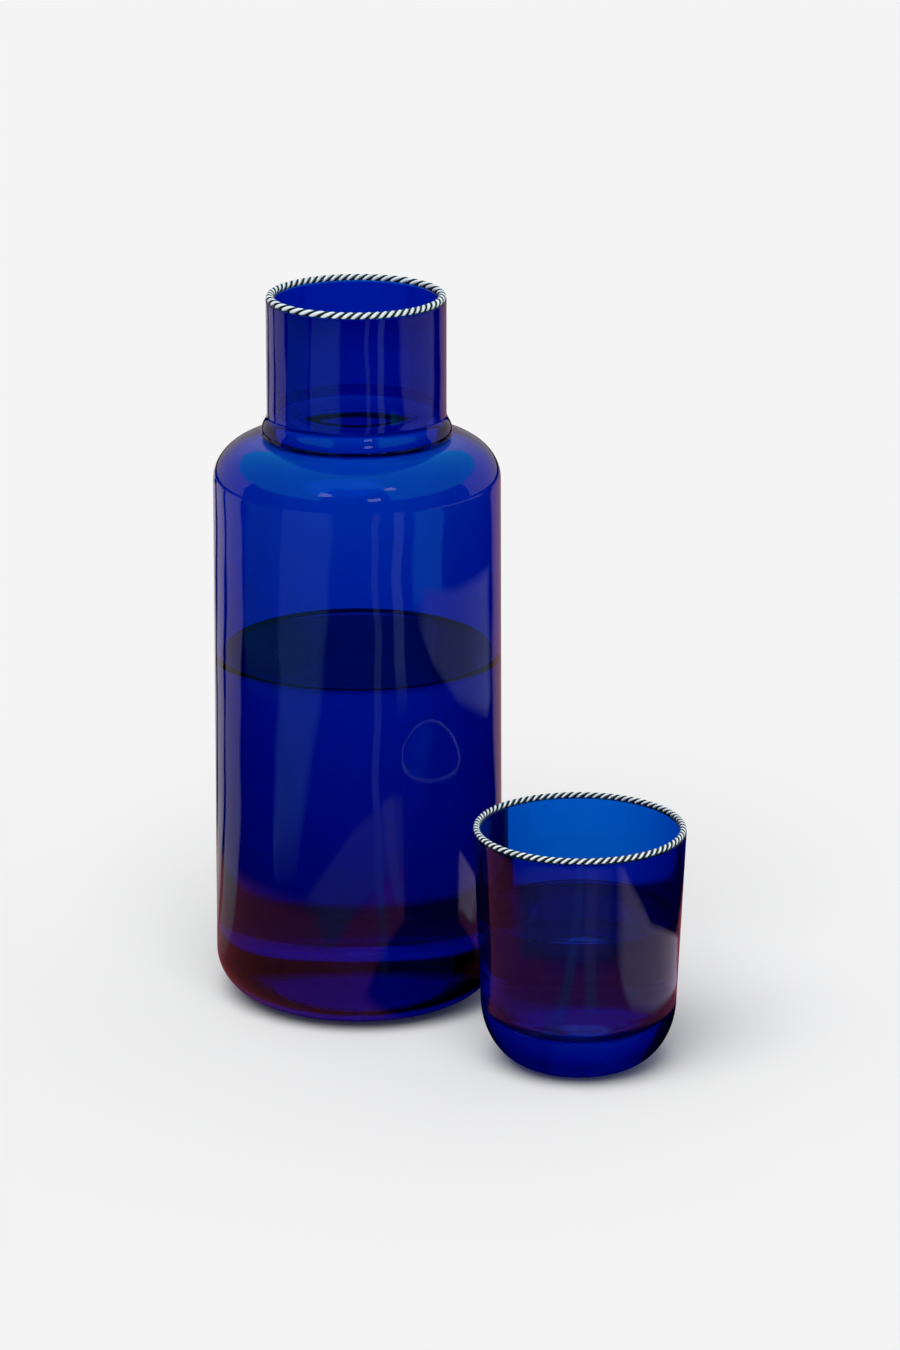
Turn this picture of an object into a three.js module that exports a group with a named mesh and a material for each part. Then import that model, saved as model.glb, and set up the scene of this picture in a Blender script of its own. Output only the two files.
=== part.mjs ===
import * as THREE from 'three';

// Bedside carafe and its tumbler in cobalt glass, each lip finished with a twisted white and black cane.
// Millimetres, +Z up. The origin is the centre of the carafe's foot on the table, +X points to the tumbler.

// Carafe body: a cylinder that widens a little towards its rounded base. The blown wall is thin at the
// shoulder's crown and thickens downwards, most of all in the base's corner.
const shoulderDiameter = 100;
const baseFlare = 0.8;
const crownWall = 1;
const shoulderWall = 1.9;
const baseWall = 3.2;
const bodyFloor = 5;
const innerFloorDiameter = 46;
const bodyCornerWidth = 15.7;
const bodyCornerHeight = 16.7;
const shoulderStart = 188.1;
const shoulderRise = 14.9;

// Carafe neck: a plain tube with a soft hollow bead at its foot, sealed to the shoulder along a crease
const neckDiameter = 62.3;
const neckWall = 2.9;
const neckLength = 47.8;
const beadProud = 2.1;
const beadBelly = 2.2;
const beadRun = 6;
const creaseInset = 0.9;
const throatWall = 1.2;
const throatRun = 5;

// Tumbler: wall drawn in slightly towards a deep round bottom
const tumblerRimDiameter = 72.8;
const tumblerWaistDiameter = 67.4;
const tumblerWall = 2.4;
const tumblerFloor = 3;
const tumblerHeight = 82.5;
const tumblerCornerWidth = 18;
const tumblerCornerHeight = 23.2;
const standApart = 17.2;

// Lip canes: a white rod with two grooves, a black thread in each groove, twisted and closed into a ring
const carafeCane = { diameter: 2.7, pitch: 7, threadWidth: 1.1, grooveDepth: 0.85 };
const tumblerCane = { diameter: 2.2, pitch: 5.4, threadWidth: 0.9, grooveDepth: 0.7 };
const threadGap = 0.12;
const seatGap = 0.3;
const lipRound = 0.5;

// Facets
const roundSegments = 36;
const cornerSteps = 5;
const beadSteps = 3;
const lipSteps = 1;
const stepsPerTurn = 5;

const glass = { color: 0x0b2db4, roughness: 0.06, metalness: 0, transparent: true, opacity: 0.75 };
const white = { color: 0xe8ece6, roughness: 0.25, metalness: 0 };
const black = { color: 0x15161c, roughness: 0.25, metalness: 0 };

// Points along a stretch of an ellipse, angles in degrees from the outward radius
function ellipse(centreRadius, centreHeight, halfWidth, halfHeight, from, to, steps) {
  return Array.from({ length: steps + 1 }, (_, i) => {
    const angle = THREE.MathUtils.degToRad(from + ((to - from) * i) / steps);
    const radius = centreRadius + halfWidth * Math.cos(angle);
    return new THREE.Vector2(radius, centreHeight + halfHeight * Math.sin(angle));
  });
}

// Points along a smooth step from one radius and height to another, upright at both ends
function step(from, to, steps) {
  return Array.from({ length: steps + 1 }, (_, i) => {
    const share = i / steps;
    const radius = THREE.MathUtils.lerp(from.x, to.x, THREE.MathUtils.smoothstep(share, 0, 1));
    return new THREE.Vector2(radius, THREE.MathUtils.lerp(from.y, to.y, share));
  });
}

// A wall's lip from its outer face to its inner face, both edges eased
function lip(outerRadius, innerRadius, height) {
  const side = height - lipRound;
  const outerEdge = ellipse(outerRadius - lipRound, side, lipRound, lipRound, 0, 90, lipSteps);
  const innerEdge = ellipse(innerRadius + lipRound, side, lipRound, lipRound, 90, 180, lipSteps);
  return [...outerEdge, ...innerEdge];
}

// A profile of radius and height turned about +Z
function turned(profile) {
  return new THREE.LatheGeometry(profile, roundSegments).rotateX(Math.PI / 2);
}

// A closed section carried round a ring while it turns about the ring's centre line, once per pitch.
// The twist rises to the right on the side seen from outside. Each twisted strip is folded along the
// diagonal that bulges out, or along the other one where its side is the wall of a groove, so that
// facing strips stay parallel.
function twistedRing(section, ringRadius, pitch, isGrooveWall) {
  const turns = Math.round((2 * Math.PI * ringRadius) / pitch);
  const steps = turns * stepsPerTurn;
  const count = section.length;
  const positions = [];
  const index = [];
  for (let step = 0; step < steps; step += 1) {
    const around = (2 * Math.PI * step) / steps;
    const turn = turns * around;
    for (const corner of section) {
      const point = corner.clone().rotateAround(new THREE.Vector2(), turn);
      const radius = ringRadius + point.x;
      positions.push(radius * Math.cos(around), radius * Math.sin(around), point.y);
    }
    const next = (step + 1) % steps;
    for (let side = 0; side < count; side += 1) {
      const following = (side + 1) % count;
      const [a, b] = [step * count + side, step * count + following];
      const [c, d] = [next * count + following, next * count + side];
      index.push(...(isGrooveWall(side) ? [a, c, b, a, d, c] : [a, d, b, b, d, c]));
    }
  }
  const ring = new THREE.BufferGeometry();
  ring.setAttribute('position', new THREE.Float32BufferAttribute(positions, 3));
  ring.setIndex(index);
  ring.computeVertexNormals();
  return ring;
}

function named(name, geometry, finish, height = 0) {
  const mesh = new THREE.Mesh(geometry, new THREE.MeshStandardMaterial(finish));
  mesh.name = name;
  mesh.position.z = height;
  return mesh;
}

// The cane that closes a lip: rod with two round lobes, and a thread lying in each groove between them
function lipCane(vessel, cane, ringRadius, lipHeight) {
  const radius = cane.diameter / 2;
  const halfThread = cane.threadWidth / 2;
  const grooveTop = Math.sqrt(radius ** 2 - (halfThread + threadGap) ** 2);
  const grooveBottom = radius - cane.grooveDepth;
  const lobe = [
    new THREE.Vector2(halfThread + threadGap, -grooveTop),
    new THREE.Vector2(radius, 0),
    new THREE.Vector2(halfThread + threadGap, grooveTop),
    new THREE.Vector2(0, grooveBottom),
  ];
  const thread = [
    new THREE.Vector2(0, grooveBottom + threadGap),
    new THREE.Vector2(halfThread, grooveTop),
    new THREE.Vector2(0, radius),
    new THREE.Vector2(-halfThread, grooveTop),
  ];
  const opposite = (section) => section.map((corner) => corner.clone().negate());
  const onCrown = (side) => side % lobe.length < lobe.length / 2;
  const centreHeight = lipHeight + seatGap + radius;
  const noGroove = () => false;
  const ring = (section, isGrooveWall) => twistedRing(section, ringRadius, cane.pitch, isGrooveWall);
  const rod = ring([...lobe, ...opposite(lobe)], (side) => !onCrown(side));
  return [
    named(`${vessel}_rim_white_rod`, rod, white, centreHeight),
    named(`${vessel}_rim_black_thread_1`, ring(thread, noGroove), black, centreHeight),
    named(`${vessel}_rim_black_thread_2`, ring(opposite(thread), noGroove), black, centreHeight),
  ];
}

// Sizes that pieces share
const shoulderRadius = shoulderDiameter / 2;
const baseRadius = shoulderRadius + baseFlare;
const footRadius = baseRadius - bodyCornerWidth;
const neckRadius = neckDiameter / 2;
const boreRadius = neckRadius - neckWall;
const creaseRadius = neckRadius + beadProud - creaseInset;
const throatRadius = creaseRadius - throatWall;
const sealHeight = shoulderStart + shoulderRise;
const neckTop = sealHeight + neckLength;

function carafeBody() {
  const innerBase = baseRadius - baseWall;
  const innerShoulder = shoulderRadius - shoulderWall;
  const innerFloor = innerFloorDiameter / 2;
  const outside = [
    new THREE.Vector2(0, 0),
    ...ellipse(footRadius, bodyCornerHeight, bodyCornerWidth, bodyCornerHeight, -90, 0, cornerSteps),
    ...ellipse(creaseRadius, shoulderStart, shoulderRadius - creaseRadius, shoulderRise, 0, 90, cornerSteps),
  ];
  const shoulderInside = [innerShoulder - throatRadius, shoulderRise - crownWall];
  const cornerInside = [innerBase - innerFloor, bodyCornerHeight - bodyFloor];
  const inside = [
    new THREE.Vector2(throatRadius, sealHeight),
    ...ellipse(throatRadius, shoulderStart, ...shoulderInside, 90, 0, cornerSteps),
    ...ellipse(innerFloor, bodyCornerHeight, ...cornerInside, 0, -90, cornerSteps),
    new THREE.Vector2(0, bodyFloor),
  ];
  return turned([...outside, ...inside]);
}

// The bead rolls out of the crease to its full width, then eases back to the tube's outer face.
// Inside, the throat opens into it.
function carafeNeck() {
  const bellyHeight = sealHeight + beadBelly;
  const belly = new THREE.Vector2(neckRadius + beadProud, bellyHeight);
  const beadEnd = new THREE.Vector2(neckRadius, bellyHeight + beadRun);
  const outline = [
    new THREE.Vector2(throatRadius, sealHeight),
    ...ellipse(creaseRadius, bellyHeight, creaseInset, beadBelly, -90, 0, beadSteps),
    ...step(belly, beadEnd, beadSteps),
    ...lip(neckRadius, boreRadius, neckTop),
    new THREE.Vector2(boreRadius, bellyHeight + throatRun),
    new THREE.Vector2(throatRadius, sealHeight),
  ];
  return turned(outline);
}

function tumblerBody() {
  const rim = tumblerRimDiameter / 2;
  const waist = tumblerWaistDiameter / 2;
  const foot = waist - tumblerCornerWidth;
  const cornerInside = [tumblerCornerWidth - tumblerWall, tumblerCornerHeight - tumblerFloor];
  const profile = [
    new THREE.Vector2(0, 0),
    ...ellipse(foot, tumblerCornerHeight, tumblerCornerWidth, tumblerCornerHeight, -90, 0, cornerSteps),
    ...lip(rim, rim - tumblerWall, tumblerHeight),
    ...ellipse(foot, tumblerCornerHeight, ...cornerInside, 0, -90, cornerSteps),
    new THREE.Vector2(0, tumblerFloor),
  ];
  return turned(profile);
}

const carafe = new THREE.Group();
carafe.add(
  named('carafe_body', carafeBody(), glass),
  named('carafe_neck', carafeNeck(), glass),
  ...lipCane('carafe', carafeCane, neckRadius - neckWall / 2, neckTop),
);

const tumbler = new THREE.Group();
tumbler.position.x = baseRadius + standApart + tumblerRimDiameter / 2;
tumbler.add(
  named('tumbler_body', tumblerBody(), glass),
  ...lipCane('tumbler', tumblerCane, (tumblerRimDiameter - tumblerWall) / 2, tumblerHeight),
);

const carafeSet = new THREE.Group();
carafeSet.add(carafe, tumbler);

export default carafeSet;
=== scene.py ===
import math

import bpy
import numpy as np
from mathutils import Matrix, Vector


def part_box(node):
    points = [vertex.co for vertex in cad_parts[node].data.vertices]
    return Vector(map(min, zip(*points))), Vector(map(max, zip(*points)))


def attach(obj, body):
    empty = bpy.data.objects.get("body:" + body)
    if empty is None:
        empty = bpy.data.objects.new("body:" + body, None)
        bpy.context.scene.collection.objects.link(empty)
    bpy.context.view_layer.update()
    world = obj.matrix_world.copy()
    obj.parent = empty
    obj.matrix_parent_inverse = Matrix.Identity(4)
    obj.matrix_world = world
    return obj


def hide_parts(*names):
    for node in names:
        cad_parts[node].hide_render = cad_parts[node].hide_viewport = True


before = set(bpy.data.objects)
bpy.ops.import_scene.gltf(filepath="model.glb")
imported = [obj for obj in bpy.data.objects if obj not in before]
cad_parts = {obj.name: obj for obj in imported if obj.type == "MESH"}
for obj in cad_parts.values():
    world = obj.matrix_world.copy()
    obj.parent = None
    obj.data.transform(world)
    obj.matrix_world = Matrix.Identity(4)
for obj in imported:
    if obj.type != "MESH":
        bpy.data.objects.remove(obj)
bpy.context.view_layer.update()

# Bedside carafe and tumbler in cobalt glass, each lip closed with a twisted white and black cane.
# Metres, +Z up, in the CAD model's frame: the carafe's foot is at the origin, the tumbler stands along +X.
mm = 0.001
tau = 2 * math.pi
sameSpot = 1e-7  # points closer than this are one point


# sRGB hex to linear, so that colours are written as the eye reads them
def hexColour(code):
    channels = np.array([int(code[i:i + 2], 16) for i in (1, 3, 5)]) / 255
    linear = np.where(channels <= 0.04045, channels / 12.92, ((channels + 0.055) / 1.055) ** 2.4)
    return (*linear.tolist(), 1.0)


# Adds one node with its fields. Inputs are given in the order the node shows them, or by name: a node is
# linked by its first output, a socket is linked as it is, and anything else is set as the input's value.
def addNode(tree, kind, *inputs, fields=None, **named):
    node = tree.nodes.new(kind)
    for field, value in (fields or {}).items():
        setattr(node, field, value)
    shown = [socket for socket in node.inputs if socket.enabled]
    chosen = [node.inputs[name.replace("_", " ")] for name in named]
    for socket, value in [*zip(shown, inputs), *zip(chosen, named.values())]:
        if isinstance(value, bpy.types.Node):
            value = next(output for output in value.outputs if output.enabled)
        if isinstance(value, bpy.types.NodeSocket):
            tree.links.new(value, socket)
        else:
            socket.default_value = value
    return node


def newMaterial(name):
    material = bpy.data.materials.new(name)
    material.use_nodes = True
    material.node_tree.nodes.clear()
    return material, material.node_tree


# A grid of points (rows, columns, 3) becomes a mesh: columns always close, rows close on request,
# and a first or last row that lies on the axis becomes one pole point
def gridMesh(name, grid, closeRows=False):
    rows, columns = grid.shape[:2]
    poleStart = not closeRows and np.ptp(grid[0], axis=0).max() < sameSpot
    poleEnd = not closeRows and np.ptp(grid[-1], axis=0).max() < sameSpot
    body = grid[int(poleStart):rows - int(poleEnd)]
    count = len(body)
    index = np.arange(count * columns).reshape(count, columns)
    upper = np.roll(index, -1, axis=0) if closeRows else index[1:]
    lower = index if closeRows else index[:-1]
    quads = np.stack([lower, np.roll(lower, -1, 1), np.roll(upper, -1, 1), upper], -1).reshape(-1, 4)
    points = [body.reshape(-1, 3)]
    corners = [quads.ravel()]
    sizes = [np.full(len(quads), 4)]
    total = count * columns
    for pole, ring, turnRound in ((poleStart, index[0], True), (poleEnd, index[-1], False)):
        if pole:
            points.append(grid[0 if turnRound else -1, :1])
            following = np.roll(ring, -1)
            pair = (following, ring) if turnRound else (ring, following)
            corners.append(np.stack([*pair, np.full(columns, total)], -1).ravel())
            sizes.append(np.full(columns, 3))
            total += 1
    points, corners, sizes = map(np.concatenate, (points, corners, sizes))
    mesh = bpy.data.meshes.new(name)
    mesh.vertices.add(len(points))
    mesh.vertices.foreach_set("co", points.astype(np.float32).ravel())
    mesh.loops.add(len(corners))
    mesh.loops.foreach_set("vertex_index", corners.astype(np.int32))
    mesh.polygons.add(len(sizes))
    mesh.polygons.foreach_set("loop_start", (np.cumsum(sizes) - sizes).astype(np.int32))
    mesh.polygons.foreach_set("use_smooth", np.ones(len(sizes), dtype=bool))
    mesh.update(calc_edges=True)
    mesh.validate()
    piece = bpy.data.objects.new(name, mesh)
    bpy.context.collection.objects.link(piece)
    return piece


# Ellipse stretch of a profile of radius and height: centre plus half axes times cosine and sine, degrees
def arc(radius, height, halfWidth, halfHeight, start, end, steps):
    angle = np.radians(np.linspace(start, end, steps))
    return np.stack([radius + halfWidth * np.cos(angle), height + halfHeight * np.sin(angle)], -1)


# Smooth step between two points of a profile: the radius follows a half cosine, the height is even
def ease(begin, end, steps):
    share = np.linspace(0, 1, steps)
    swing = (1 - np.cos(np.pi * share)) / 2
    return np.stack([begin[0] + (end[0] - begin[0]) * swing, begin[1] + (end[1] - begin[1]) * share], -1)


# Even points on the line between two points of a profile
def straight(begin, end, steps):
    return np.linspace(begin, end, steps)


# Stretches of a profile one after the other, without doubled points
def joined(*stretches):
    profile = np.concatenate([np.atleast_2d(stretch) for stretch in stretches])
    keep = np.r_[True, np.hypot(*np.diff(profile, axis=0).T) > sameSpot]
    return profile[keep]


lipSupport = 1.2  # a row this many edge rounds below a lip keeps the wall's shading even


# Flat lip from a wall's outer face to its inner face, with both edges eased to a small quarter round
def easedLip(outer, inner, top, edge):
    below = top - lipSupport * edge
    outerRound = arc(outer - edge, top - edge, edge, edge, 0, 90, 10)
    innerRound = arc(inner + edge, top - edge, edge, edge, 90, 180, 10)
    return joined((outer, below), outerRound, innerRound, (inner, below))


# Drawn glass isn't quite round: slow waves run round the wall and drift with height. Each is a sine less one,
# so they only draw the wall in, and it stays within its true size.
waves = [(2, 1.0, 1, 0), (5, 0.6, 2, 9), (11, 0.4, -1, -18)]  # times round, share, phases, drift per metre


def drawnWaver(angle, height, amount, phase):
    swings = [share * (np.sin(times * angle + phases * phase + drift * height) - 1)
              for times, share, phases, drift in waves]
    return amount * sum(swings) / 2


# Profile turned about an upright axis at x = centre. Its radius is made uneven by the waver's amount, a tiny
# share of the radius.
def turned(name, profile, centre, segments, waver=0.0, phase=0.0):
    angle = np.linspace(0, tau, segments, endpoint=False)[None, :]
    radius, height = profile[:, :1], profile[:, 1:]
    radius = radius * (1 + drawnWaver(angle, height, waver, phase))
    grid = np.stack([centre + radius * np.cos(angle), radius * np.sin(angle), height + 0 * angle], -1)
    return gridMesh(name, grid)


# Camera at the photograph's viewing point: heading from -Y towards +X, then pitched down
shot = {
    "heading": math.radians(42.92), "distance": 1.7567, "aside": 0.0323, "height": 0.6579,
    "pitch": math.radians(17.134), "focalPixels": 5231.5, "framePixels": 1350, "sensor": 36.0, "clipEnd": 50,
}


# Level unit vectors at angles to the right of the camera's side of the set
def towards(side):
    heading, angle = shot["heading"], np.asarray(side)[..., None]
    front = np.array([math.sin(heading), -math.cos(heading), 0])
    right = np.array([math.cos(heading), math.sin(heading), 0])
    return np.cos(angle) * front + np.sin(angle) * right


def makeCamera():
    data = bpy.data.cameras.new("camera")
    data.sensor_fit = "VERTICAL"
    data.sensor_height = shot["sensor"]
    data.lens = shot["focalPixels"] / shot["framePixels"] * shot["sensor"]
    data.clip_end = shot["clipEnd"]
    camera = bpy.data.objects.new("camera", data)
    level = shot["aside"] * towards(math.pi / 2) + shot["distance"] * towards(0)
    camera.location = level + np.array([0, 0, shot["height"]])
    camera.rotation_euler = (math.pi / 2 - shot["pitch"], 0, shot["heading"])
    bpy.context.collection.objects.link(camera)
    bpy.context.scene.camera = camera


makeCamera()
print("camera set")


# Cobalt glass: clear blown glass coloured right through, so thick places are deeper. Absorption does the
# colouring, and the surface is fire-polished with a faint ripple, drawn long up the wall, that breaks up
# reflections.
cobalt = {
    "absorb": "#30dcf7", "density": 3300.0, "ior": 1.5, "drawnOut": 0.12, "roughest": 0.03,
    "rippleWidth": 9 * mm, "rippleDepth": 0.3 * mm, "ripple": 0.06, "smearWidth": 30 * mm,
}


def makeCobaltGlass():
    material, tree = newMaterial("cobalt_blown_glass")
    place = addNode(tree, "ShaderNodeTexCoord").outputs["Object"]
    drawn = addNode(tree, "ShaderNodeMapping", Vector=place, Scale=(1, 1, cobalt["drawnOut"]))
    ripple = addNode(tree, "ShaderNodeTexNoise", Vector=drawn, Scale=1 / cobalt["rippleWidth"], Detail=1.0)
    bump = addNode(tree, "ShaderNodeBump", Height=ripple, Strength=cobalt["ripple"],
                   Distance=cobalt["rippleDepth"])
    smear = addNode(tree, "ShaderNodeTexNoise", Vector=drawn, Scale=1 / cobalt["smearWidth"], Detail=3.0)
    polish = addNode(tree, "ShaderNodeMapRange", Value=smear, To_Min=0.0, To_Max=cobalt["roughest"])
    shader = addNode(tree, "ShaderNodeBsdfPrincipled", Base_Color=(1, 1, 1, 1), Transmission_Weight=1.0,
                     IOR=cobalt["ior"], Roughness=polish, Normal=bump)
    colour = addNode(tree, "ShaderNodeVolumeAbsorption", Color=hexColour(cobalt["absorb"]),
                     Density=cobalt["density"])
    addNode(tree, "ShaderNodeOutputMaterial", Surface=shader, Volume=colour)
    return material


# Drinking water: clear, flat on top, with just enough depth of colour to read as a body of water
water = {
    "absorb": "#c8d8f0", "density": 18.0, "ior": 1.333,
    "swellWidth": 25 * mm, "swellDepth": 0.2 * mm, "swell": 0.02,
}


def makeWater():
    material, tree = newMaterial("still_water")
    place = addNode(tree, "ShaderNodeTexCoord").outputs["Object"]
    swell = addNode(tree, "ShaderNodeTexNoise", Vector=place, Scale=1 / water["swellWidth"], Detail=0.0)
    bump = addNode(tree, "ShaderNodeBump", Height=swell, Strength=water["swell"],
                   Distance=water["swellDepth"])
    shader = addNode(tree, "ShaderNodeBsdfPrincipled", Base_Color=(1, 1, 1, 1), Transmission_Weight=1.0,
                     IOR=water["ior"], Roughness=0.0, Normal=bump)
    colour = addNode(tree, "ShaderNodeVolumeAbsorption", Color=hexColour(water["absorb"]),
                     Density=water["density"])
    addNode(tree, "ShaderNodeOutputMaterial", Surface=shader, Volume=colour)
    return material


# Opaque cane glass: enamel glass drawn into threads, glossy, a little uneven in tone and in polish
caneGlass = {
    "ior": 1.5, "cloudWidth": 4 * mm, "grainWidth": 0.6 * mm, "grainDepth": 0.05 * mm, "grain": 0.1,
    "smoothest": 0.7, "roughest": 1.3,  # shares of a cane's own roughness
}


def makeCaneGlass(name, pale, deep, rough):
    material, tree = newMaterial(name)
    place = addNode(tree, "ShaderNodeTexCoord").outputs["Object"]
    cloud = addNode(tree, "ShaderNodeTexNoise", Vector=place, Scale=1 / caneGlass["cloudWidth"], Detail=3.0)
    tone = addNode(tree, "ShaderNodeMix", cloud, hexColour(deep), hexColour(pale),
                   fields={"data_type": "RGBA"})
    grain = addNode(tree, "ShaderNodeTexNoise", Vector=place, Scale=1 / caneGlass["grainWidth"], Detail=2.0)
    bump = addNode(tree, "ShaderNodeBump", Height=grain, Strength=caneGlass["grain"],
                   Distance=caneGlass["grainDepth"])
    polish = addNode(tree, "ShaderNodeMapRange", Value=cloud, To_Min=rough * caneGlass["smoothest"],
                     To_Max=rough * caneGlass["roughest"])
    shader = addNode(tree, "ShaderNodeBsdfPrincipled", Base_Color=tone, IOR=caneGlass["ior"],
                     Roughness=polish, Normal=bump)
    addNode(tree, "ShaderNodeOutputMaterial", Surface=shader)
    return material


cobaltGlass = makeCobaltGlass()
stillWater = makeWater()
whiteCane = makeCaneGlass("white_cane_glass", "#eef7fb", "#d2e0e6", 0.22)
blackCane = makeCaneGlass("black_cane_glass", "#1b1c22", "#0b0b0e", 0.2)
print("materials made")

# The vessels' upright axes along X and the tumbler's lip radius, from the frame
tumblerLow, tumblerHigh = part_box("tumbler_body")
axes = {"carafe": 0.0, "tumbler": (tumblerLow[0] + tumblerHigh[0]) / 2}
tumblerRim = (tumblerHigh[0] - tumblerLow[0]) / 2


def finishPiece(piece, material, body, slot, *nodes):
    piece.data.materials.append(material)
    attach(piece, body)
    if nodes:
        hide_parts(*nodes)


# A vessel's glass: its profile turned about its axis
def makeShell(vessel, size, profile, *nodes):
    waver, phase = size["waver"], size["wavePhase"]
    piece = turned(f"{vessel}_glass", profile, axes[vessel], size["segments"], waver, phase)
    finishPiece(piece, cobaltGlass, vessel, "cobalt_glass", *nodes)


# Carafe: body and neck as the one shell they are once sealed
carafe = {
    "crownWall": 0.9 * mm, "shoulderWall": 1.85 * mm, "baseWall": 3.25 * mm, "neckWall": 2.9 * mm,
    "floor": 2.2 * mm, "innerFloor": 34 * mm, "footFlat": 24 * mm, "toeRise": 0.8 * mm,
    "cornerWidth": 15.7 * mm, "cornerHeight": 16.7 * mm, "shoulderRadius": 50 * mm,
    "shoulderRise": 14.9 * mm, "neckRadius": 31.15 * mm,
    "beadBelly": 2.2 * mm, "beadRun": 6.5 * mm, "beadWall": 2.7 * mm,
    "creaseInset": 1.5 * mm, "throatWall": 1.2 * mm, "throatRound": 10 * mm, "throatLead": 0.5 * mm,
    "sealWall": 2.4 * mm, "sealHalf": 0.2 * mm, "lipSink": 1.0 * mm, "lipEase": 0.5 * mm,
    "segments": 240, "waver": 0.0006, "wavePhase": 0.7,
}


# Up the outside from the foot's centre, over the lip and down the inside to the floor's centre. The last
# number of a stretch is its count of points.
def carafeProfile():
    body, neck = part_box("carafe_body"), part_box("carafe_neck")
    base, seal = body[1][0], body[1][2]
    bead, top = neck[1][0], neck[1][2] + carafe["lipSink"]
    shoulder, rise = carafe["shoulderRadius"], carafe["shoulderRise"]
    start = seal - rise
    width, height = carafe["cornerWidth"], carafe["cornerHeight"]
    foot, footFlat, toe = base - width, carafe["footFlat"], carafe["toeRise"]
    radius = carafe["neckRadius"]
    bore = radius - carafe["neckWall"]
    crease = bead - carafe["creaseInset"]
    belly = seal + carafe["beadBelly"]
    beadEnd, throatEnd = belly + carafe["beadRun"], belly + carafe["throatRound"]
    lipStart = top - lipSupport * carafe["lipEase"]
    outside = joined(
        straight((0, 0), (footFlat, 0), 12),
        ease((0, footFlat), (toe, foot), 16)[:, ::-1],  # level at both ends: radius and height swap
        arc(foot, height, width, height - toe, -90, 0, 40),
        straight((base, height), (shoulder, start), 30),
        arc(crease, start, shoulder - crease, rise, 0, 90, 48),
        arc(crease, belly, carafe["creaseInset"], carafe["beadBelly"], -90, 0, 14),
        ease((bead, belly), (radius, beadEnd), 16),
        straight((radius, beadEnd), (radius, lipStart), 16),
    )
    lip = easedLip(radius, bore, top, carafe["lipEase"])
    throat, ridge = crease - carafe["throatWall"], crease - carafe["sealWall"]
    hollow, sealHalf = bead - carafe["beadWall"], carafe["sealHalf"]
    crown, floor, innerFloor = carafe["crownWall"], carafe["floor"], carafe["innerFloor"]
    innerShoulder, innerBase = shoulder - carafe["shoulderWall"], base - carafe["baseWall"]
    inside = joined(
        straight((bore, lipStart), (bore, throatEnd), 16),
        ease((bore, throatEnd), (hollow, belly), 16),
        ease((hollow, belly), (ridge, seal + sealHalf), 12),
        ease((ridge, seal - sealHalf), (throat + carafe["throatLead"], seal - crown), 8),
        arc(throat, start, innerShoulder - throat, rise - crown, 88, 0, 44),
        straight((innerShoulder, start), (innerBase, height), 30),
        arc(innerFloor, height, innerBase - innerFloor, height - floor, 0, -90, 44),
        straight((innerFloor, floor), (0, floor), 10),
    )
    return joined(outside, lip, inside), inside


# Tumbler: wall drawn in towards a deep round bottom
tumbler = {
    "wall": 2.4 * mm, "floor": 3 * mm, "waist": 33.7 * mm, "cornerWidth": 18 * mm, "cornerHeight": 23.2 * mm,
    "lipSink": 0.8 * mm, "lipEase": 0.5 * mm, "segments": 288, "waver": 0.0008, "wavePhase": 2.1,
}


# As the carafe's: up the outside, over the lip and down the inside
def tumblerProfile():
    top = tumblerHigh[2] + tumbler["lipSink"]
    waist, wall, floor = tumbler["waist"], tumbler["wall"], tumbler["floor"]
    width, height = tumbler["cornerWidth"], tumbler["cornerHeight"]
    foot = waist - width
    lipStart = top - lipSupport * tumbler["lipEase"]
    outside = joined(
        straight((0, 0), (foot, 0), 8),
        arc(foot, height, width, height, -90, 0, 56),
        straight((waist, height), (tumblerRim, lipStart), 50),
    )
    lip = easedLip(tumblerRim, tumblerRim - wall, top, tumbler["lipEase"])
    inside = joined(
        straight((tumblerRim - wall, lipStart), (waist - wall, height), 50),
        arc(foot, height, width - wall, height - floor, 0, -90, 50),
        straight((foot, floor), (0, floor), 8),
    )
    return joined(outside, lip, inside), inside


carafeShell, carafeInside = carafeProfile()
tumblerShell, tumblerInside = tumblerProfile()
makeShell("carafe", carafe, carafeShell, "carafe_body", "carafe_neck")
makeShell("tumbler", tumbler, tumblerShell, "tumbler_body")
print("glass shells turned")


# Water fills a vessel's inside profile up to a level. Its side bites a hair into the glass, so that light
# passes from glass to water with no film of air. Its surface climbs the wall in a small meniscus, whose
# height falls exponentially away from the wall.
fill = {
    "carafe": 125.2 * mm, "tumbler": 52.9 * mm, "bite": 0.15 * mm, "climb": 1.2 * mm,
    "meniscus": 7.5 * mm, "fall": 4.5, "segments": 192,
}


def makeWaterBody(vessel, inside):
    rising = inside[::-1]  # from the floor's centre up the wall
    level = fill[vessel]
    top = level + fill["climb"]
    edge = np.interp(top, rising[:, 1], rising[:, 0])
    wall = np.concatenate([rising[rising[:, 1] < top], [(edge, top)]])
    along = np.gradient(wall, axis=0)
    along /= np.hypot(*along.T)[:, None]
    wall += fill["bite"] * np.stack([along[:, 1], -along[:, 0]], -1)
    wall[0, 0] = 0  # the floor's centre stays on the axis
    share = np.linspace(0, 1, 14)[1:]
    sheetHeight = level + fill["climb"] * np.exp(-fill["fall"] * share)
    surface = np.stack([edge - fill["meniscus"] * share, sheetHeight], -1)
    middle = straight(surface[-1], (0, level), 8)[1:]
    piece = turned(f"{vessel}_water", joined(wall, surface, middle), axes[vessel], fill["segments"])
    finishPiece(piece, stillWater, vessel, "cobalt_glass")


makeWaterBody("carafe", carafeInside)
makeWaterBody("tumbler", tumblerInside)
print("water poured")


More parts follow.
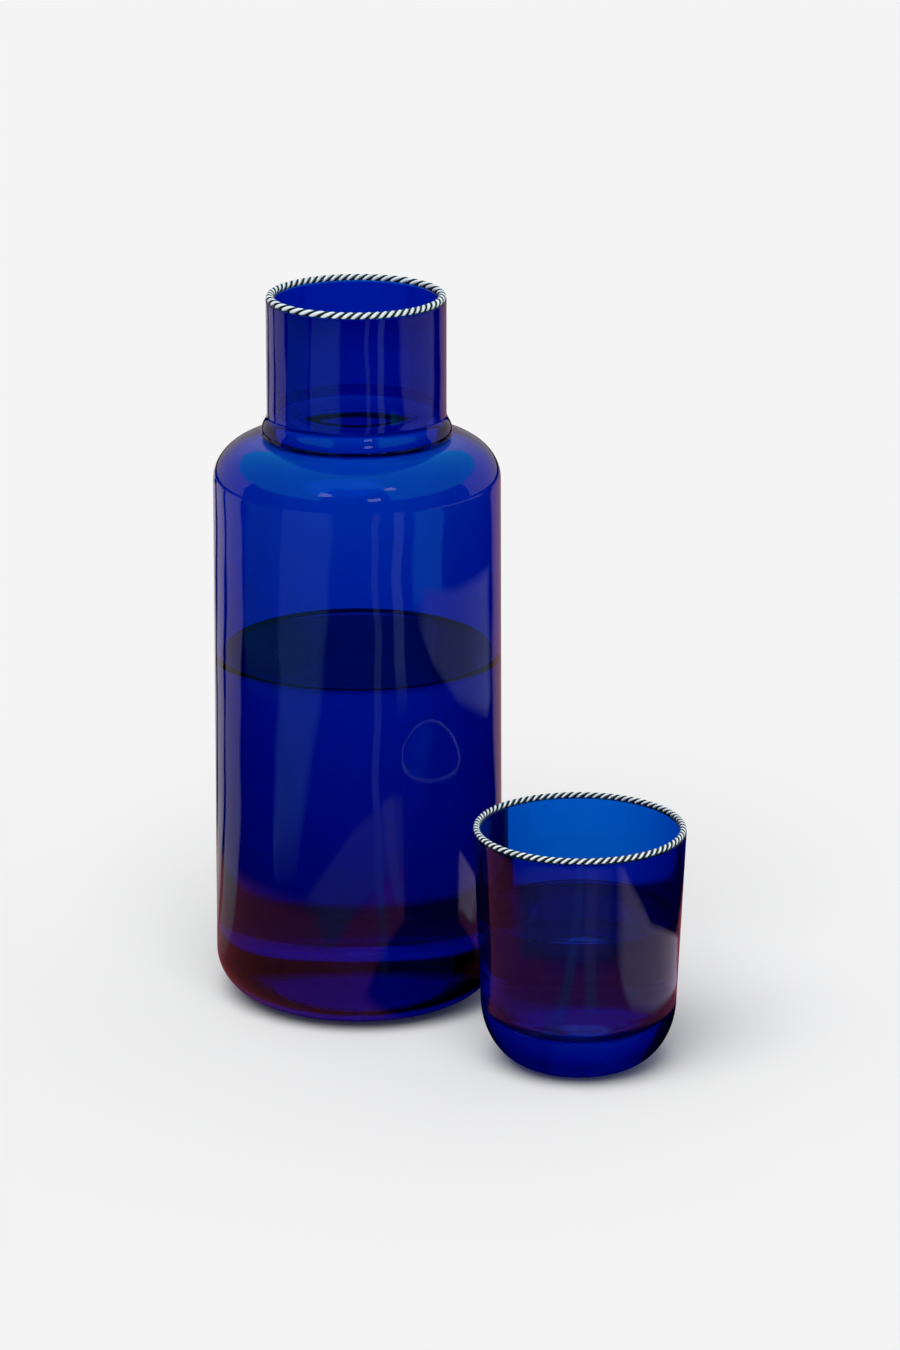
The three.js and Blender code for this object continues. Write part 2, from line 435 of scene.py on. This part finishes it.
# Lip cane: two white lobes with a black thread in each groove between them, twisted round a ring. A section
# point is turned by turns * around plus a hand's unevenness: pitchDrift makes two sides of the ring twist
# slower than the rest, unevenTurn wobbles it, unevenWidth thins the cane here and there.
cane = {
    "carafe": {"radius": 1.35 * mm, "pitch": 7 * mm, "pitchDrift": 0.25, "driftFrom": -0.26, "phase": 0.4,
               "lobeShare": 0.54, "threadShare": 0.4},
    "tumbler": {"radius": 1.1 * mm, "pitch": 5.4 * mm, "pitchDrift": 0.0, "driftFrom": 0.0, "phase": 1.9,
                "lobeShare": 0.48, "threadShare": 0.48},
    "unevenTurn": 0.2, "unevenWidth": 0.04, "threadSink": 0.03,
    "steps": 26, "rodCorners": 28, "threadCorners": 16,
}


# Outline of two equal circles side by side: from the middle, the reach at an angle is the circles' offset
# times the cosine, plus the root of the circle's square less the square of the offset times the sine
def lobedSection(shape):
    lobe = shape["lobeShare"] * shape["radius"]
    offset = shape["radius"] - lobe
    angle = np.linspace(0, tau, cane["rodCorners"], endpoint=False)
    square = np.maximum(lobe ** 2 - (offset * np.sin(angle)) ** 2, 0)
    reach = offset * np.abs(np.cos(angle)) + np.sqrt(square)
    return np.stack([reach * np.cos(angle), reach * np.sin(angle)], -1)


# Circle that lies in the groove on one side, sunk a little below the cane's full width
def threadSection(shape, side):
    thread = shape["threadShare"] * shape["radius"]
    offset = side * (shape["radius"] * (1 - cane["threadSink"]) - thread)
    angle = np.linspace(0, tau, cane["threadCorners"], endpoint=False)
    return np.stack([thread * np.cos(angle), offset + thread * np.sin(angle)], -1)


def twistedRing(name, section, vessel, ringRadius, middle):
    shape = cane[vessel]
    phase = shape["phase"]
    turns = round(tau * ringRadius / shape["pitch"])
    around = np.linspace(0, tau, turns * cane["steps"], endpoint=False)[:, None]
    wobble = np.sin(3 * around + phase) + 0.7 * np.sin(8 * around + 2 * phase) + 0.5 * np.sin(13 * around)
    drift = shape["pitchDrift"] * turns / 2 * np.sin(2 * (around - shape["driftFrom"]))
    turn = turns * around + drift + cane["unevenTurn"] * wobble
    width = 1 - cane["unevenWidth"] * (1 + np.sin(6 * around + phase) * np.cos(11 * around)) / 2
    sideways, upright = section.T
    across = width * (sideways * np.cos(turn) - upright * np.sin(turn))
    up = width * (sideways * np.sin(turn) + upright * np.cos(turn))
    radius = ringRadius + across
    grid = np.stack([axes[vessel] + radius * np.cos(around), radius * np.sin(around), middle + up], -1)
    return gridMesh(name, grid[::-1], closeRows=True)


def makeCane(vessel, ringRadius):
    rod = f"{vessel}_rim_white_rod"
    low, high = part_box(rod)
    middle = (low[2] + high[2]) / 2
    section = lobedSection(cane[vessel])
    piece = twistedRing(f"{vessel}_white_rod", section, vessel, ringRadius, middle)
    finishPiece(piece, whiteCane, vessel, "white_cane_glass", rod)
    for number, side in ((1, 1), (2, -1)):
        section = threadSection(cane[vessel], side)
        piece = twistedRing(f"{vessel}_black_thread_{number}", section, vessel, ringRadius, middle)
        finishPiece(piece, blackCane, vessel, "black_cane_glass", f"{vessel}_rim_black_thread_{number}")


makeCane("carafe", carafe["neckRadius"] - carafe["neckWall"] / 2)
makeCane("tumbler", tumblerRim - tumbler["wall"] / 2)
print("lip canes twisted")


# A grid of points (rows, columns, 3) as an open sheet of the studio
def stageSheet(name, points, material):
    index = np.arange(points[..., 0].size).reshape(points.shape[:2])
    faces = np.stack([index[:-1, :-1], index[:-1, 1:], index[1:, 1:], index[1:, :-1]], -1).reshape(-1, 4)
    mesh = bpy.data.meshes.new(name)
    mesh.from_pydata(points.reshape(-1, 3).tolist(), [], faces.tolist())
    mesh.materials.append(material)
    piece = bpy.data.objects.new(name, mesh)
    bpy.context.collection.objects.link(piece)
    return piece


# Matt paper: pale and without gloss, as the camera sees it. To rays that look through the glass it is
# painted:
# a dark strip across the set is painted shade, with a gap behind the tumbler; a pocket under each foot glows
# with painted light for the light the glass lets through; the far end is a painted blue shade. What the glass
# mirrors is a painted reflection: a red-brown round about each vessel and black beyond it, but for the boards
# laid on the floor.
paper = {
    "colour": "#efefef", "size": 14.0, "soft": 4 * mm,
    "lift": 0.02 * mm,  # the paper meets the feet with no film of air
    # strip and gap: painted shade, seen only through the glass
    "strip": {"near": -205 * mm, "far": 110 * mm, "left": -2.0, "right": 2.0}, "stripColour": "#4a4468",
    "gap": {"near": 8 * mm, "far": 17 * mm, "left": 52 * mm, "right": 135 * mm},
    # pocket and pocketGlow: painted light, a glow under each foot seen only through the glass
    "pocket": {"carafe": 28 * mm, "tumbler": 18 * mm}, "pocketGlow": {"carafe": 0.5, "tumbler": 1.6},
    # round and beyondColour: a painted reflection, red-brown about each vessel and black beyond
    "round": {"carafe": 182 * mm, "tumbler": 135 * mm}, "roundSoft": 16 * mm, "roundColour": "#a04b50",
    # farFrom to farColour: a painted blue shade at the far end, seen only through the glass
    "beyondColour": "#000000", "farFrom": 0.93, "farTo": 1.07, "farColour": "#405dc8",
}


def makeFloor():
    material, tree = newMaterial("matt_paper_with_painted_light")
    place = addNode(tree, "ShaderNodeTexCoord").outputs["Object"]
    path = addNode(tree, "ShaderNodeLightPath").outputs
    away, right = tuple(-towards(0)), tuple(towards(math.pi / 2))
    rgba, smooth = {"data_type": "RGBA"}, {"interpolation_type": "SMOOTHSTEP"}
    multiply, dot = {"operation": "MULTIPLY"}, {"operation": "DOT_PRODUCT"}

    # 1 inside a band between two distances along a direction, 0 outside it, soft at both edges
    def inBand(direction, low, high):
        along = addNode(tree, "ShaderNodeVectorMath", place, direction, fields=dot)
        offset = addNode(tree, "ShaderNodeMath", along, (low + high) / 2, fields={"operation": "SUBTRACT"})
        distance = addNode(tree, "ShaderNodeMath", offset, fields={"operation": "ABSOLUTE"})
        reach = (high - low) / 2
        return addNode(tree, "ShaderNodeMapRange", Value=distance, From_Min=reach + paper["soft"],
                       From_Max=reach - paper["soft"])

    def inPatch(patch):
        deep = inBand(away, patch["near"], patch["far"])
        wide = inBand(right, patch["left"], patch["right"])
        return addNode(tree, "ShaderNodeMath", deep, wide, fields=multiply)

    # From one value inside a disc about a vessel's axis to another outside it
    def acrossDisc(vessel, discs, soft, inside, outside):
        centre = (axes[vessel], 0, 0)
        distance = addNode(tree, "ShaderNodeVectorMath", place, centre, fields={"operation": "DISTANCE"})
        return addNode(tree, "ShaderNodeMapRange", fields=smooth, Value=distance,
                       From_Min=discs[vessel] - soft, From_Max=discs[vessel] + soft,
                       To_Min=inside, To_Max=outside)

    # 1 outside the discs about both vessels, 0 inside either
    def outOfDiscs(discs, soft):
        beyond = [acrossDisc(vessel, discs, soft, 0.0, 1.0) for vessel in axes]
        return addNode(tree, "ShaderNodeMath", *beyond, fields=multiply)

    pale = hexColour(paper["colour"])
    # Painted blue shade at the far end, seen only through the glass
    depth = addNode(tree, "ShaderNodeVectorMath", place, away, fields=dot)
    far = addNode(tree, "ShaderNodeMapRange", fields=smooth, Value=depth, From_Min=paper["farFrom"],
                  From_Max=paper["farTo"])
    ground = addNode(tree, "ShaderNodeMix", far, pale, hexColour(paper["farColour"]), fields=rgba)
    # Painted shade: a dark strip seen only through the glass, clear of the pockets and of the gap behind the
    # tumbler
    offPockets = outOfDiscs(paper["pocket"], paper["soft"])
    strip = addNode(tree, "ShaderNodeMath", inPatch(paper["strip"]), offPockets, fields=multiply)
    dark = addNode(tree, "ShaderNodeMath", strip, inPatch(paper["gap"]),
                   fields={"operation": "SUBTRACT", "use_clamp": True})
    through = addNode(tree, "ShaderNodeMix", dark, ground, hexColour(paper["stripColour"]), fields=rgba)
    # Painted reflection: what glossy rays see is red-brown about each vessel and black beyond
    mirrored = addNode(tree, "ShaderNodeMix", outOfDiscs(paper["round"], paper["roundSoft"]),
                       hexColour(paper["roundColour"]), hexColour(paper["beyondColour"]), fields=rgba)
    colour = addNode(tree, "ShaderNodeMix", path["Is Glossy Ray"], pale, mirrored, fields=rgba)
    # A ray that glass lets through counts as glossy too, so this mix comes last
    colour = addNode(tree, "ShaderNodeMix", path["Is Transmission Ray"], colour, through, fields=rgba)
    # Painted light: each pocket glows to rays through the glass, for the light the glass lets through; it is
    # no lamp
    glows = [acrossDisc(vessel, paper["pocket"], paper["soft"], paper["pocketGlow"][vessel], 0.0)
             for vessel in axes]
    pockets = addNode(tree, "ShaderNodeMath", *glows, fields={"operation": "ADD"})
    lit = addNode(tree, "ShaderNodeMath", path["Is Transmission Ray"], pockets, fields=multiply)
    matt = addNode(tree, "ShaderNodeBsdfDiffuse", Color=colour)
    glow = addNode(tree, "ShaderNodeEmission", Color=pale, Strength=lit)
    shader = addNode(tree, "ShaderNodeAddShader", matt, glow)
    addNode(tree, "ShaderNodeOutputMaterial", Surface=shader)
    half = paper["size"] / 2
    x, y = np.meshgrid((-half, half), (-half, half))
    stageSheet("floor", np.stack([x, y, np.full_like(x, paper["lift"])], -1), material)


# Soft studio light at a plain level: an even sky, paler where it is seen straight or through glass, and one
# broad key light
studio = {
    "sky": 0.42, "skySeen": 0.9, "key": 2.25, "keySpread": math.radians(50),
    "keyRise": math.radians(62), "keySide": math.radians(-18),
}


def makeLight():
    world = bpy.data.worlds.new("soft_room")
    bpy.context.scene.world = world
    world.use_nodes = True
    tree = world.node_tree
    tree.nodes.clear()
    path = addNode(tree, "ShaderNodeLightPath").outputs
    seen = addNode(tree, "ShaderNodeMath", path["Is Camera Ray"], path["Is Transmission Ray"],
                   fields={"operation": "MAXIMUM"})
    level = addNode(tree, "ShaderNodeMapRange", Value=seen, To_Min=studio["sky"], To_Max=studio["skySeen"])
    sky = addNode(tree, "ShaderNodeBackground", Color=(1, 1, 1, 1), Strength=level)
    addNode(tree, "ShaderNodeOutputWorld", Surface=sky)
    data = bpy.data.lights.new("key", "SUN")
    data.energy = studio["key"]
    data.angle = studio["keySpread"]
    key = bpy.data.objects.new("key", data)
    key.rotation_euler = (math.pi / 2 - studio["keyRise"], 0, shot["heading"] + studio["keySide"])
    bpy.context.collection.objects.link(key)


# A black tent round the set, seen in reflections alone, keeps the glass deep: it is a painted dark
# reflection. What the glass mirrors besides are painted reflections and highlights: glowing screens on the
# tent's wall and roof and glowing or black boards on its floor, all seen in reflections alone. Side angles
# are in degrees to the right of the camera's side, and each screen or board lies a step before or above the
# last.
tent = {
    "radius": 2.5, "rises": (-8, 90), "middle": 0.2,
    "screenRadius": 2.2, "screenStep": 10 * mm, "screenPoints": (33, 9),
    "boardLift": 0.8 * mm, "boardStep": 0.08 * mm, "boardPoints": 49, "fade": 0.1,
    "waver": 1.3, "slowWave": 18.0, "quickWave": 46.0,  # degrees, and radians of swing per metre
}
screens = [  # side angles, rises, colour, glow
    # painted sky reflection in cyan over the roof and upper sides, and paler painted reflections low at the
    # back sides
    ((-180, 180), (62, 90), "#38c4d0", 1.0),
    ((30, 180), (26, 62), "#38c4d0", 1.0),
    ((-180, -30), (26, 62), "#38c4d0", 1.0),
    ((100, 180), (-8, 26), "#a8a0b4", 1.0),
    ((-180, -100), (-8, 26), "#a8a0b4", 1.0),
    # painted highlights: small bright screens that make the glints on the glass
    ((34, 46), (54, 61), "#ffffff", 2.2),
    ((-35, -23), (38, 47), "#ffffff", 1.8),
    ((10, 21), (27, 35), "#ffffff", 1.8),
]
boards = {  # side angle, nearest and furthest reach at stations from left to right; colour, glow
    # painted floor reflections that the carafe mirrors: pale, bluish, lavender and red-brown ground and
    # streaks
    "carafe": [
        ([(-66, 0.30, 0.52), (-62, 0.19, 0.62), (-57, 0.19, 1.15), (-43, 0.20, 1.15), (-32, 0.36, 1.15),
          (-17, 0.62, 1.15)], "#5d93b8", 1.0),
        ([(-98, 0.42, 1.15), (-60, 0.42, 1.15)], "#2c6c88", 0.9),
        ([(-190, 0.05, 1.2), (-152, 0.05, 1.2)], "#aea6ae", 1.5),
        ([(-148, 0.05, 1.2), (-129, 0.05, 1.2)], "#aea6ae", 1.4),
        ([(-126, 0.06, 1.2), (-100, 0.06, 1.2)], "#aea6ae", 1.1),
        ([(12, 0.09, 1.2), (18, 0.09, 1.2)], "#617395", 1.2),
        ([(28, 0.42, 1.2), (37, 0.42, 1.2)], "#89a6da", 0.9),
        ([(43, 0.57, 0.90), (71, 0.57, 0.86)], "#40c4f4", 0.8),
        ([(48, 0.56, 0.62), (61, 0.48, 0.61), (84, 0.41, 0.60), (119, 0.36, 0.60), (130, 0.38, 0.60)],
         "#909cc4", 1.0),
        ([(54, 0.95, 1.2), (66, 0.84, 1.2), (119, 0.82, 1.2)], "#9595bc", 1.0),
        ([(131, 0.07, 1.2), (190, 0.07, 1.2)], "#a07b81", 1.1),
    ],
    "tumbler": [
        # painted floor reflections that the tumbler mirrors
        ([(-70, 0.13, 0.21), (-20, 0.13, 0.23), (37, 0.13, 0.22)], "#69697a", 0.9),
        ([(36, 0.14, 0.235), (44, 0.102, 0.22), (52, 0.086, 0.205), (80, 0.078, 0.162), (134, 0.082, 0.138),
          (143, 0.09, 0.132)], "#bcaac8", 1.45),
        ([(5, 0.085, 0.23), (18, 0.085, 0.23)], "#8a8298", 0.9),
        # painted dark reflection close round the tumbler's foot
        ([(-200, 0.0, 0.074), (200, 0.0, 0.074)], "#000000", 0.0),
    ],
}


# Even glow for a painted reflection or highlight, or a fading one that gives way to what lies behind it as
# the mesh's fade attribute falls
def glowMaterial(name, colour, strength, fading=False):
    material, tree = newMaterial(name)
    shader = addNode(tree, "ShaderNodeEmission", Color=hexColour(colour), Strength=strength)
    if fading:
        fade = addNode(tree, "ShaderNodeAttribute", fields={"attribute_name": "fade"}).outputs["Fac"]
        clear = addNode(tree, "ShaderNodeBsdfTransparent")
        shader = addNode(tree, "ShaderNodeMixShader", fade, clear, shader)
    addNode(tree, "ShaderNodeOutputMaterial", Surface=shader)
    return material


# Leaves a sheet to be seen in reflections alone
def onlyMirrored(piece):
    for ray in ("camera", "diffuse", "transmission", "volume_scatter", "shadow"):
        setattr(piece, f"visible_{ray}", False)


# Patch of a sphere between two side angles and two rises: a painted reflection or highlight, seen in
# reflections alone
def makeScreen(name, radius, sides, rises, colour, glow):
    aroundPoints, upPoints = tent["screenPoints"]
    sideAngles, riseAngles = np.linspace(*sides, aroundPoints), np.linspace(*rises, upPoints)
    side, rise = np.meshgrid(np.radians(sideAngles), np.radians(riseAngles))
    up = np.array([0, 0, 1.0])
    outward = np.cos(rise)[..., None] * towards(side) + np.sin(rise)[..., None] * up
    points = tent["middle"] * up + radius * outward
    onlyMirrored(stageSheet(name, points, glowMaterial(name, colour, glow)))


# Painted floor reflection: a sector about a vessel's axis, just above the floor, that glows or stays black
# and is seen in reflections alone, between the reaches that its stations give. It fades out at its edges. Its
# sides waver, as blown glass makes the edges of what it mirrors waver: the side angle swings with the
# distance in two sines.
def makeBoard(vessel, number, stations, colour, glow):
    name = f"{vessel}_board_{number}"
    even = np.linspace(0, 1, tent["boardPoints"])
    share, depth = np.meshgrid(even, even, indexing="ij")
    angles, near, far = np.array(stations).T
    side = angles[0] + (angles[-1] - angles[0]) * share
    distance = np.interp(side, angles, near) * (1 - depth) + np.interp(side, angles, far) * depth
    slow = np.sin(tent["slowWave"] * distance + number)
    quick = np.sin(tent["quickWave"] * distance - number)
    level = towards(np.radians(side + tent["waver"] * (slow + quick / 2)))
    centre = np.array([axes[vessel], 0, tent["boardLift"] + tent["boardStep"] * number])
    piece = stageSheet(name, centre + distance[..., None] * level, glowMaterial(name, colour, glow, True))
    onlyMirrored(piece)
    sideways, outwards = [np.clip(np.minimum(way, 1 - way) / tent["fade"], 0, 1) for way in (share, depth)]
    fade = (sideways * outwards).astype(np.float32)
    piece.data.attributes.new("fade", "FLOAT", "POINT").data.foreach_set("value", fade.ravel())


def makeTent():
    makeScreen("painted_black_reflection", tent["radius"], (-180, 180), tent["rises"], "#000000", 0.0)
    for number, (sides, rises, colour, glow) in enumerate(screens):
        radius = tent["screenRadius"] - tent["screenStep"] * number
        makeScreen(f"screen_{number}", radius, sides, rises, colour, glow)
    for vessel in boards:
        for number, (stations, colour, glow) in enumerate(boards[vessel]):
            makeBoard(vessel, number, stations, colour, glow)


makeFloor()
makeLight()
makeTent()
bounces = 24  # light crosses many faces of glass and water
scene = bpy.context.scene
scene.view_settings.view_transform = "Standard"
scene.cycles.max_bounces = bounces
scene.cycles.transmission_bounces = bounces
print("studio ready")
